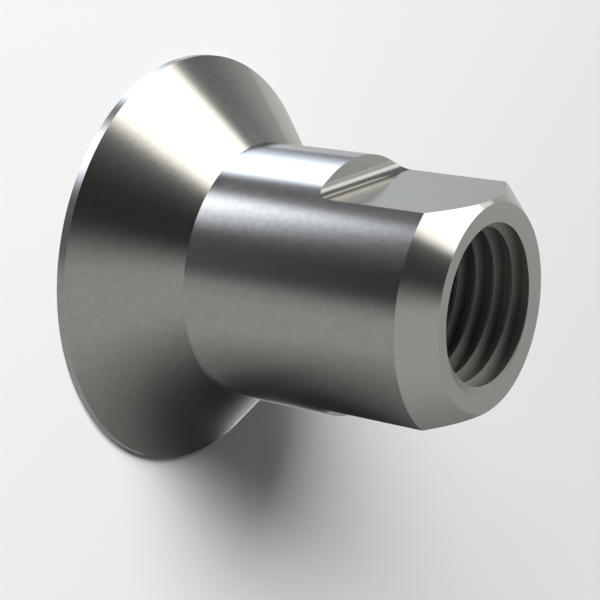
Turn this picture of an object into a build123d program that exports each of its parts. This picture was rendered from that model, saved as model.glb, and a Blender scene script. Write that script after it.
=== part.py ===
from build123d import *
import math
import os

# Threaded sleeve turned from one steel bar, in millimetres
# The flat face of the head lies on z = 0, the axis is z, and the threaded mouth is at the top

# Countersunk head: a thin straight rim, then a cone down to the shank
head_diameter = 73.0
rim_height = 1.5
cone_included_angle = 90.0

# Round shank with a wide chamfer round its free end
shank_diameter = 45.0
sleeve_length = 61.5
end_chamfer = 5.0

# Two opposite wrench flats, milled in from the free end, and the cutter's corner radius at their foot
across_flats = 36.0
flat_length = 25.5
foot_radius = 2.0

# Bore right through the sleeve, as wide as the crests of its M30 x 3.5 thread, whose groove isn't cut here
thread_crest_diameter = 26.2

# Room that the cutters have past the metal they leave
cutter_overrun = 1.0


def turned_blank():
    """The solid of revolution that comes off the lathe, before it is drilled and milled."""
    head_radius = head_diameter / 2
    shank_radius = shank_diameter / 2
    cone_height = (head_radius - shank_radius) / math.tan(math.radians(cone_included_angle / 2))
    half_section = [
        (0, 0),
        (head_radius, 0),
        (head_radius, rim_height),
        (shank_radius, rim_height + cone_height),
        (shank_radius, sleeve_length - end_chamfer),
        (shank_radius - end_chamfer, sleeve_length),
        (0, sleeve_length),
    ]
    with BuildPart() as blank:
        with BuildSketch(Plane.XZ):
            with BuildLine():
                Polyline(*half_section, close=True)
            make_face()
        revolve(axis=Axis.Z)
    return blank.part


def bore_tool():
    """The drill, which leaves the bore at the crests of the thread."""
    crest_radius = thread_crest_diameter / 2
    length = sleeve_length + 2 * cutter_overrun
    with BuildPart() as tool:
        with Locations((0, 0, -cutter_overrun)):
            Cylinder(crest_radius, length, align=(Align.CENTER, Align.CENTER, Align.MIN))
    return tool.part


def flat_tool():
    """One wrench flat's cutter: its corner radius leaves the rounded foot between the flat and the step."""
    flat_height = across_flats / 2
    flat_start = sleeve_length - flat_length
    reach = shank_diameter / 2 + cutter_overrun
    with BuildPart() as tool:
        with BuildSketch(Plane.YZ):
            with Locations((flat_height, flat_start)):
                Rectangle(reach - flat_height, flat_length + cutter_overrun, align=Align.MIN)
            foot = vertices().group_by(Axis.Y)[0].sort_by(Axis.X)[0]
            fillet(foot, foot_radius)
        extrude(amount=reach, both=True)
    return tool.part


def threaded_sleeve():
    """The blank, bored through and milled on two opposite sides."""
    flat = flat_tool()
    return turned_blank() - bore_tool() - flat - mirror(flat, about=Plane.XZ)


parts = {"threaded_sleeve": threaded_sleeve()}

os.makedirs("parts", exist_ok=True)
for name, solid in parts.items():
    export_step(solid, f"parts/{name}.step")
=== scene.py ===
import math

import bpy
import mathutils
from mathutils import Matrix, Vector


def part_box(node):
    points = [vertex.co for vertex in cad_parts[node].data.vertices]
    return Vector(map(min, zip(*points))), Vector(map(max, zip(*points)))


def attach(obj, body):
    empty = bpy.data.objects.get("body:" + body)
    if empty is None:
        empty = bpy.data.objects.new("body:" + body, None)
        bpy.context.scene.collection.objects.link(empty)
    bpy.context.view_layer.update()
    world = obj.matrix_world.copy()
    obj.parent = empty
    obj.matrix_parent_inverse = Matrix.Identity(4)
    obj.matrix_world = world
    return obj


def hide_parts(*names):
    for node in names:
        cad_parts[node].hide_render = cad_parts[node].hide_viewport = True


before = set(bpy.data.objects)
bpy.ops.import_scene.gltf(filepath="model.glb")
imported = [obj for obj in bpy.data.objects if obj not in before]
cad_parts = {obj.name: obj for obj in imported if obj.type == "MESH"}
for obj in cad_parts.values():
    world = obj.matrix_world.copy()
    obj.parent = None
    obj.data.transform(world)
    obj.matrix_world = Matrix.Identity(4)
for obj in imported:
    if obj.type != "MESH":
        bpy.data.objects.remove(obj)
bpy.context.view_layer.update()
bpy.ops.object.select_all(action="DESELECT")

# Blank of the sleeve: bar steel turned on a lathe to a thin rim, a 90 degree
# cone that seats in a countersink, a round shank and a wide chamfer at its end.
mm = 0.001
high_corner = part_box("threaded_sleeve")[1]
head_radius = high_corner.x
sleeve_length = high_corner.z
rim_height = 1.5 * mm
shank_radius = 22.5 * mm
end_chamfer = 5 * mm
turned_facets = 384


def turn_up(start_radius, steps):
    """Each step lifts the last face of the piece being edited and brings it to a new radius."""
    radius = start_radius
    for rise, new_radius in steps:
        ratio = new_radius / radius
        bpy.ops.mesh.extrude_region_move(TRANSFORM_OT_translate={"value": (0, 0, rise)})
        bpy.ops.transform.resize(value=(ratio, ratio, 1), center_override=(0, 0, 0))
        radius = new_radius


cone_height = head_radius - shank_radius
shank_height = sleeve_length - end_chamfer - rim_height - cone_height
bpy.ops.mesh.primitive_circle_add(vertices=turned_facets, radius=head_radius, fill_type="NGON")
sleeve = bpy.context.object
sleeve.name = "turned_sleeve"
bpy.ops.object.mode_set(mode="EDIT")
bpy.ops.mesh.select_all(action="SELECT")
turn_up(head_radius, [
    (rim_height, head_radius),
    (cone_height, shank_radius),
    (shank_height, shank_radius),
    (end_chamfer, shank_radius - end_chamfer),
])
bpy.ops.mesh.select_all(action="SELECT")
bpy.ops.mesh.normals_make_consistent(inside=False)
bpy.ops.object.mode_set(mode="OBJECT")

# Wrench flats: two opposite sides of the shank, milled in from its end. The
# cutter's corner radius leaves a rounded foot where each flat meets its step.
flat_height = 18 * mm
flat_length = 25.5 * mm
foot_radius = 2 * mm
foot_segments = 16
cutter_room = 1 * mm


def cut_away(piece, cutter):
    """Takes the cutter's shape out of the piece, and then the cutter off the bench."""
    cut = piece.modifiers.new("cut", "BOOLEAN")
    cut.operation = "DIFFERENCE"
    cut.solver = "MANIFOLD"
    cut.object = cutter
    bpy.context.view_layer.objects.active = piece
    bpy.ops.object.modifier_apply(modifier="cut")
    bpy.data.objects.remove(cutter)


def select_vertices(piece, is_wanted):
    """Leaves only the wanted vertices selected, and the piece in edit mode."""
    bpy.ops.mesh.select_mode(type="VERT")
    bpy.ops.mesh.select_all(action="DESELECT")
    bpy.ops.object.mode_set(mode="OBJECT")
    for vertex in piece.data.vertices:
        vertex.select = is_wanted(vertex.co)
    bpy.ops.object.mode_set(mode="EDIT")


flat_foot = sleeve_length - flat_length
cutter_width = 2 * shank_radius + cutter_room
cutter_depth = shank_radius + cutter_room - flat_height
cutter_height = flat_length + cutter_room
for side in (1, -1):
    bpy.ops.object.select_all(action="DESELECT")
    bpy.ops.mesh.primitive_cube_add(size=1)
    mill = bpy.context.object
    bpy.ops.object.mode_set(mode="EDIT")
    bpy.ops.transform.resize(value=(cutter_width, cutter_depth, cutter_height))
    mill_middle = (0, side * (flat_height + cutter_depth / 2), flat_foot + cutter_height / 2)
    bpy.ops.transform.translate(value=mill_middle)
    select_vertices(
        mill,
        lambda at: at.z < flat_foot + cutter_room and abs(at.y) < flat_height + cutter_room,
    )
    bpy.ops.mesh.bevel(offset=foot_radius, segments=foot_segments, affect="EDGES")
    bpy.ops.object.mode_set(mode="OBJECT")
    cut_away(sleeve, mill)

# Bore and thread: drilled through to the crests of an M30 x 3.5 thread, and then
# tapped from end to end, so that the one right-handed groove runs out sharp
# through both end faces.
crest_radius = 13.1 * mm
pitch = 3.5 * mm
crest_land = 0.44 * mm
root_land = 0.87 * mm
thread_angle = math.radians(60)
groove_start = 0.3 * mm
bored_facets = 320
tap_room = 0.2 * mm
turns_before_head = 2
tap_turns = 21
steps_per_turn = 160
smooth_angle = math.radians(20)
bpy.ops.object.select_all(action="DESELECT")
bpy.ops.mesh.primitive_cylinder_add(
    vertices=bored_facets,
    radius=crest_radius,
    depth=sleeve_length + 2 * cutter_room,
    location=(0, 0, sleeve_length / 2),
)
drill = bpy.context.object
cut_away(sleeve, drill)

flank_slope = math.tan(thread_angle / 2)
groove_depth = (pitch - crest_land - root_land) / 2 / flank_slope
tap_height = groove_depth + tap_room
tap_middle = crest_radius + groove_depth - tap_height / 2
tap_width = root_land + 2 * tap_height * flank_slope
tap_start = groove_start - turns_before_head * pitch
bpy.ops.object.select_all(action="DESELECT")
bpy.ops.mesh.primitive_plane_add(size=1)
tap = bpy.context.object
bpy.ops.object.mode_set(mode="EDIT")
bpy.ops.transform.resize(value=(tap_height, tap_width, 1))
bpy.ops.transform.rotate(value=math.radians(90), orient_axis="X", center_override=(0, 0, 0))
bpy.ops.transform.translate(value=(tap_middle, 0, tap_start))
select_vertices(tap, lambda at: at.x > tap_middle)
bpy.ops.transform.resize(value=(1, 1, root_land / tap_width))
bpy.ops.mesh.select_all(action="SELECT")
bpy.ops.mesh.delete(type="ONLY_FACE")
bpy.ops.object.mode_set(mode="OBJECT")
helix = tap.modifiers.new("helix", "SCREW")
helix.angle = math.radians(360)
helix.screw_offset = pitch
helix.iterations = tap_turns
helix.steps = steps_per_turn
helix.render_steps = steps_per_turn
bpy.ops.object.modifier_apply(modifier="helix")
bpy.ops.object.mode_set(mode="EDIT")
bpy.ops.mesh.select_all(action="SELECT")
bpy.ops.mesh.fill_holes(sides=0)
bpy.ops.mesh.select_all(action="SELECT")
bpy.ops.mesh.normals_make_consistent(inside=False)
bpy.ops.object.mode_set(mode="OBJECT")
cut_away(sleeve, tap)
bpy.ops.object.select_all(action="DESELECT")
sleeve.select_set(True)
bpy.context.view_layer.objects.active = sleeve
bpy.ops.object.shade_smooth_by_angle(angle=smooth_angle)

# Steel: bare and lightly oiled. The head and shank are turned to a satin grain
# with faint rings round the axis, the chamfer, the mouth's end face and the flats
# are finished cleaner and brighter, and the tapped bore is rough, with its tone
# made darker as painted shade deep in the thread.
warm_grey = (1.018, 1.0, 0.934)
micron = 0.001 * mm
grain_size = 1.1 * mm
grain_detail = 2
ring_spacing = 0.5 * mm
ring_detail = 1
gloss_spread = 0.04


def colours_of(sockets):
    """The colour sockets among a Mix node's, which has a set for each kind of value."""
    return [socket for socket in sockets if socket.type == "RGBA"]


def steel_finish(name, brightness, unevenness, roughness, grain, rings):
    """Bare steel whose grain and rings show in its tone, its gloss and its relief."""
    made = bpy.data.materials.new(name)
    made.use_nodes = True
    nodes = made.node_tree.nodes
    links = made.node_tree.links
    shader = nodes["Principled BSDF"]
    shader.inputs["Metallic"].default_value = 1
    place = nodes.new("ShaderNodeTexCoord").outputs["Object"]

    grain_noise = nodes.new("ShaderNodeTexNoise")
    grain_noise.inputs["Scale"].default_value = 1 / grain_size
    grain_noise.inputs["Detail"].default_value = grain_detail
    links.new(place, grain_noise.inputs["Vector"])

    split = nodes.new("ShaderNodeSeparateXYZ")
    links.new(place, split.inputs["Vector"])
    flatten = nodes.new("ShaderNodeVectorMath")
    flatten.operation = "MULTIPLY"
    flatten.inputs[1].default_value = (1, 1, 0)
    links.new(place, flatten.inputs[0])
    radius = nodes.new("ShaderNodeVectorMath")
    radius.operation = "LENGTH"
    links.new(flatten.outputs["Vector"], radius.inputs[0])
    along_profile = nodes.new("ShaderNodeMath")
    along_profile.operation = "SUBTRACT"
    links.new(split.outputs["Z"], along_profile.inputs[0])
    links.new(radius.outputs["Value"], along_profile.inputs[1])
    ring_noise = nodes.new("ShaderNodeTexNoise")
    ring_noise.noise_dimensions = "1D"
    ring_noise.inputs["Scale"].default_value = 1 / ring_spacing
    ring_noise.inputs["Detail"].default_value = ring_detail
    links.new(along_profile.outputs["Value"], ring_noise.inputs["W"])

    marks = nodes.new("ShaderNodeMix")
    marks.inputs["Factor"].default_value = rings / (rings + grain)
    links.new(grain_noise.outputs["Fac"], marks.inputs["A"])
    links.new(ring_noise.outputs["Fac"], marks.inputs["B"])
    mark = marks.outputs["Result"]

    tones = nodes.new("ShaderNodeMix")
    tones.data_type = "RGBA"
    dark_tone, light_tone = colours_of(tones.inputs)
    dark_tone.default_value = (*(brightness * (1 - unevenness) * share for share in warm_grey), 1)
    light_tone.default_value = (*(brightness * (1 + unevenness) * share for share in warm_grey), 1)
    links.new(mark, tones.inputs["Factor"])
    links.new(colours_of(tones.outputs)[0], shader.inputs["Base Color"])

    gloss = nodes.new("ShaderNodeMapRange")
    gloss.inputs["To Min"].default_value = roughness * (1 - gloss_spread)
    gloss.inputs["To Max"].default_value = roughness * (1 + gloss_spread)
    links.new(mark, gloss.inputs["Value"])
    links.new(gloss.outputs["Result"], shader.inputs["Roughness"])

    relief = nodes.new("ShaderNodeBump")
    relief.inputs["Distance"].default_value = grain + rings
    links.new(mark, relief.inputs["Height"])
    links.new(relief.outputs["Normal"], shader.inputs["Normal"])
    return made


turned = steel_finish("turned_steel", brightness=0.56, unevenness=0.14, roughness=0.165,
                      grain=0.5 * micron, rings=0.1 * micron)
bright = steel_finish("bright_steel", brightness=0.655, unevenness=0.04, roughness=0.165,
                      grain=0.6 * micron, rings=0.3 * micron)
# The tapped bore's darker tone is painted shade for the thread's recesses; its roughness is the
# tap's own.
tapped = steel_finish("tapped_steel", brightness=0.42, unevenness=0.1, roughness=0.5,
                      grain=2 * micron, rings=1 * micron)
finishes = (turned, bright, tapped)
turned_slot, bright_slot, tapped_slot = range(len(finishes))
sleeve.data.materials.clear()
for finish in finishes:
    sleeve.data.materials.append(finish)
hair = 0.01 * mm
square_to_axis = 0.99
root_radius = crest_radius + groove_depth
shank_end = sleeve_length - end_chamfer
for polygon in sleeve.data.polygons:
    middle = polygon.center
    spread = math.hypot(middle.x, middle.y)
    inside = spread < root_radius + hair and abs(polygon.normal.z) < square_to_axis
    past_shank = middle.z > shank_end
    milled = middle.z > flat_foot - hair and spread < shank_radius - hair
    if inside:
        polygon.material_index = tapped_slot
    elif past_shank or milled:
        polygon.material_index = bright_slot
    else:
        polygon.material_index = turned_slot
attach(sleeve, "root")
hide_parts("threaded_sleeve")

# Floor: a plain pale sheet that the sleeve stands on, in plain sight round it and
# thinning out into the pale room farther off, so that no edge of it shows.
floor_size = 1.4
floor_tone = 0.9
floor_roughness = 0.9
plain_reach = 0.15
far_reach = 0.45
bpy.ops.object.select_all(action="DESELECT")
bpy.ops.mesh.primitive_plane_add(size=floor_size)
floor = bpy.context.object
floor.name = "floor"
pale_sheet = bpy.data.materials.new("pale_sheet")
pale_sheet.use_nodes = True
sheet_nodes = pale_sheet.node_tree.nodes
sheet_links = pale_sheet.node_tree.links
sheet_shader = sheet_nodes["Principled BSDF"]
sheet_shader.inputs["Base Color"].default_value = (floor_tone, floor_tone, floor_tone, 1)
sheet_shader.inputs["Roughness"].default_value = floor_roughness
place_on_sheet = sheet_nodes.new("ShaderNodeTexCoord")
from_sleeve = sheet_nodes.new("ShaderNodeVectorMath")
from_sleeve.operation = "LENGTH"
thinning = sheet_nodes.new("ShaderNodeMapRange")
thinning.interpolation_type = "SMOOTHSTEP"
thinning.inputs["From Min"].default_value = plain_reach
thinning.inputs["From Max"].default_value = far_reach
pale_room = sheet_nodes.new("ShaderNodeBsdfTransparent")
sheet = sheet_nodes.new("ShaderNodeMixShader")
sheet_links.new(place_on_sheet.outputs["Object"], from_sleeve.inputs[0])
sheet_links.new(from_sleeve.outputs["Value"], thinning.inputs["Value"])
sheet_links.new(thinning.outputs["Result"], sheet.inputs["Fac"])
sheet_links.new(sheet_shader.outputs["BSDF"], sheet.inputs[1])
sheet_links.new(pale_room.outputs["BSDF"], sheet.inputs[2])
sheet_links.new(sheet.outputs["Shader"], sheet_nodes["Material Output"].inputs["Surface"])
floor.data.materials.append(pale_sheet)
floor.visible_glossy = False

# Studio: the room that the bare steel mirrors, with a grey table, dark walls, a
# dim ceiling and soft boxes and glows round it. Only mirror rays see it: the
# camera sees a pale room, and the floor gets a dim even fill from it.
to_the_right = (0.5608, -0.0095, 0.8279)
to_the_ceiling = (0.2335, 0.9612, -0.1471)
to_the_front = (-0.7944, 0.2758, 0.5412)
wall_level = 0.034
table_level = 0.407
horizon = -6.3
horizon_blur = 23.3
fill_level = 0.1
pale_level = 0.9
studio = bpy.data.worlds.new("studio")
studio.use_nodes = True
bpy.context.scene.world = studio
studio_nodes = studio.node_tree.nodes
studio_links = studio.node_tree.links
studio_background = studio_nodes["Background"]
sight = studio_nodes.new("ShaderNodeTexCoord").outputs["Generated"]


def maths(operation, *values):
    """A Math node fed with sockets or plain numbers, and its output."""
    made = studio_nodes.new("ShaderNodeMath")
    made.operation = operation
    for socket, value in zip(made.inputs, values):
        if isinstance(value, (int, float)):
            socket.default_value = value
        else:
            studio_links.new(value, socket)
    return made.outputs["Value"]


def share_along(direction):
    """How far the line of sight runs in a direction, from -1 to 1."""
    made = studio_nodes.new("ShaderNodeVectorMath")
    made.operation = "DOT_PRODUCT"
    made.inputs[1].default_value = direction
    studio_links.new(sight, made.inputs[0])
    return made.outputs["Value"]


def fall(value, edge, blur):
    """1 below the edge and 0 above it, with a smooth fall as wide as the blur."""
    made = studio_nodes.new("ShaderNodeMapRange")
    made.interpolation_type = "SMOOTHSTEP"
    made.inputs["From Min"].default_value = edge - blur / 2
    made.inputs["From Max"].default_value = edge + blur / 2
    made.inputs["To Min"].default_value = 1
    made.inputs["To Max"].default_value = 0
    studio_links.new(value, made.inputs["Value"])
    return made.outputs["Result"]


def grey(level, tint=(1, 1, 1)):
    """A colour of a level, with a tint where it has one."""
    return tuple(level * share for share in tint)


def lay_over(under, over, weight):
    """Lays a colour over what is under it, by a weight."""
    made = studio_nodes.new("ShaderNodeMix")
    made.data_type = "RGBA"
    colour_under, colour_over = colours_of(made.inputs)
    pairs = ((colour_under, under), (colour_over, over), (made.inputs["Factor"], weight))
    for socket, value in pairs:
        if isinstance(value, tuple):
            socket.default_value = (*value, 1)
        else:
            studio_links.new(value, socket)
    return colours_of(made.outputs)[0]


def hang(under, colour, azimuth, elevation, width, height, side_blur, edge_blur):
    """Hangs a soft-edged panel in the room, by its middle's bearings and its size, in degrees."""
    off_side = maths("ABSOLUTE", maths("WRAP", maths("SUBTRACT", bearing, azimuth), 180, -180))
    off_height = maths("ABSOLUTE", maths("SUBTRACT", height_angle, elevation))
    side_share = fall(off_side, width / 2, side_blur)
    height_share = fall(off_height, height / 2, edge_blur)
    return lay_over(under, colour, maths("MULTIPLY", side_share, height_share))


in_degrees = math.degrees(1)
climb = maths("ARCSINE", share_along(to_the_ceiling))
swing = maths("ARCTAN2", share_along(to_the_right), share_along(to_the_front))
height_angle = maths("MULTIPLY", climb, in_degrees)
bearing = maths("MULTIPLY", swing, in_degrees)
room = lay_over(grey(wall_level), grey(table_level), fall(height_angle, horizon, horizon_blur))

dim_ceiling = grey(0.164, tint=(0.981, 1, 1.067))
rear_glow = grey(1.79, tint=(0.955, 1, 1.07))
left_box = grey(3.17, tint=(0.934, 1, 1.137))
back_glow = grey(7.6, tint=(0.893, 1, 1.182))
key_box = grey(2.38, tint=(1.022, 1, 0.952))
corner_glow = grey(0.632, tint=(1.002, 1, 0.985))
low_glow = grey(0.4, tint=(0.93, 1, 1.09))
key_strip = grey(1.05, tint=(1.022, 1, 0.952))
dusk_glow = grey(0.57, tint=(1.03, 1, 0.96))
room = hang(room, dim_ceiling, azimuth=-56, elevation=76.4, width=404, height=81.6,
            side_blur=5, edge_blur=39)
room = hang(room, rear_glow, azimuth=-140.3, elevation=11.2, width=60.8, height=42.2,
            side_blur=106.8, edge_blur=3)
room = hang(room, left_box, azimuth=-97.4, elevation=43.2, width=40, height=20.8,
            side_blur=24, edge_blur=11.3)
room = hang(room, back_glow, azimuth=-153.1, elevation=67.9, width=47, height=0,
            side_blur=25.4, edge_blur=96.4)
room = hang(room, key_box, azimuth=73.5, elevation=45.2, width=63.2, height=39,
            side_blur=8.8, edge_blur=3.2)
room = hang(room, corner_glow, azimuth=104.3, elevation=15.7, width=94.2, height=40.4,
            side_blur=59.9, edge_blur=22.6)
room = hang(room, low_glow, azimuth=96.4, elevation=22.3, width=66.4, height=27.8,
            side_blur=52.6, edge_blur=41.7)
room = hang(room, key_strip, azimuth=114, elevation=33, width=17, height=21,
            side_blur=5, edge_blur=4)
room = hang(room, dusk_glow, azimuth=176.3, elevation=11.8, width=69.6, height=24.6,
            side_blur=40.9, edge_blur=3.2)

ray = studio_nodes.new("ShaderNodeLightPath").outputs
seen = lay_over(grey(fill_level), grey(pale_level), ray["Is Camera Ray"])
seen = lay_over(seen, room, ray["Is Glossy Ray"])
studio_links.new(seen, studio_background.inputs["Color"])

# Shade cards: two soft-edged dark cards beside the sleeve, which stand for the
# sleeve's own shadow on the photograph's table. Only the steel sees them.
# The cards carry painted shadow: a near-black tone, full out to a tenth of their radius and
# thinning to nothing at their rim.
card_facets = 64
painted_shadow_tone = 0.03
full_shadow_reach = 0.1
# Painted shadow sheet: a dark emission mixed with clear air by the distance from the card's
# middle.
painted_shadow_sheet = bpy.data.materials.new("painted_shadow_sheet")
painted_shadow_sheet.use_nodes = True
shadow_sheet_nodes = painted_shadow_sheet.node_tree.nodes
shadow_sheet_links = painted_shadow_sheet.node_tree.links
shadow_sheet_nodes.clear()
place_on_card = shadow_sheet_nodes.new("ShaderNodeTexCoord")
from_middle = shadow_sheet_nodes.new("ShaderNodeVectorMath")
from_middle.operation = "LENGTH"
shadow_strength = shadow_sheet_nodes.new("ShaderNodeMapRange")
shadow_strength.interpolation_type = "SMOOTHSTEP"
shadow_strength.inputs["From Min"].default_value = full_shadow_reach
shadow_strength.inputs["From Max"].default_value = 1
shadow_strength.inputs["To Min"].default_value = 1
shadow_strength.inputs["To Max"].default_value = 0
open_air = shadow_sheet_nodes.new("ShaderNodeBsdfTransparent")
painted_shadow_colour = shadow_sheet_nodes.new("ShaderNodeEmission")
painted_shadow_colour.inputs["Color"].default_value = (painted_shadow_tone, painted_shadow_tone, painted_shadow_tone, 1)
painted_shadow_mix = shadow_sheet_nodes.new("ShaderNodeMixShader")
shadow_sheet_output = shadow_sheet_nodes.new("ShaderNodeOutputMaterial")
shadow_sheet_links.new(place_on_card.outputs["Object"], from_middle.inputs[0])
shadow_sheet_links.new(from_middle.outputs["Value"], shadow_strength.inputs["Value"])
shadow_sheet_links.new(shadow_strength.outputs["Result"], painted_shadow_mix.inputs["Fac"])
shadow_sheet_links.new(open_air.outputs["BSDF"], painted_shadow_mix.inputs[1])
shadow_sheet_links.new(painted_shadow_colour.outputs["Emission"], painted_shadow_mix.inputs[2])
shadow_sheet_links.new(painted_shadow_mix.outputs["Shader"], shadow_sheet_output.inputs["Surface"])


def stand_card(name, place, half_width, half_depth):
    """Stands one card in the room, level with the photograph's table."""
    bpy.ops.object.select_all(action="DESELECT")
    bpy.ops.mesh.primitive_circle_add(vertices=card_facets, radius=1, fill_type="NGON")
    card = bpy.context.object
    card.name = name
    size = mathutils.Matrix.Diagonal((half_width, half_depth, 1, 1))
    card.matrix_world = mathutils.Matrix.Translation(place) @ card_turn @ size
    card.visible_camera = False
    card.visible_diffuse = False
    card.visible_transmission = False
    card.visible_volume_scatter = False
    card.visible_shadow = False
    card.data.materials.append(painted_shadow_sheet)


card_turn = mathutils.Matrix((to_the_right, to_the_front, to_the_ceiling)).transposed().to_4x4()
stand_card("shade_card_1", (-0.7 * mm, -38.6 * mm, 25.3 * mm), 62 * mm, 62.4 * mm)
stand_card("shade_card_2", (13.5 * mm, -46.4 * mm, -6 * mm), 13.1 * mm, 64.5 * mm)

# Key lamp: a long soft box overhead that lays the sleeve's shadow on the floor.
lamp_width = 0.75
lamp_length = 2.1
lamp_power = 70
lamp_roll = mathutils.Quaternion((0, 0, 1), math.radians(26))
lamp_data = bpy.data.lights.new("key_lamp", "AREA")
lamp_data.shape = "RECTANGLE"
lamp_data.size = lamp_width
lamp_data.size_y = lamp_length
lamp_data.energy = lamp_power
key_lamp = bpy.data.objects.new("key_lamp", lamp_data)
bpy.context.scene.collection.objects.link(key_lamp)
key_lamp.location = (-0.85, 1.35, 1.02)
key_lamp.rotation_euler = (key_lamp.location.to_track_quat("Z", "Y") @ lamp_roll).to_euler()
key_lamp.visible_glossy = False
key_lamp.visible_camera = False

# Camera: a long lens above the sleeve's mouth, rolled so that the shank points
# to the right of the picture.
camera_data = bpy.data.cameras.new("camera")
camera_data.sensor_width = 36
camera_data.lens = 110.63
camera = bpy.data.objects.new("camera", camera_data)
camera.location = (-255.78 * mm, 84.44 * mm, 197.97 * mm)
camera.rotation_euler = (math.radians(-15.209), math.radians(-55.884), math.radians(-0.968))
bpy.context.scene.collection.objects.link(camera)
bpy.context.scene.camera = camera
bpy.context.scene.view_settings.view_transform = "Standard"
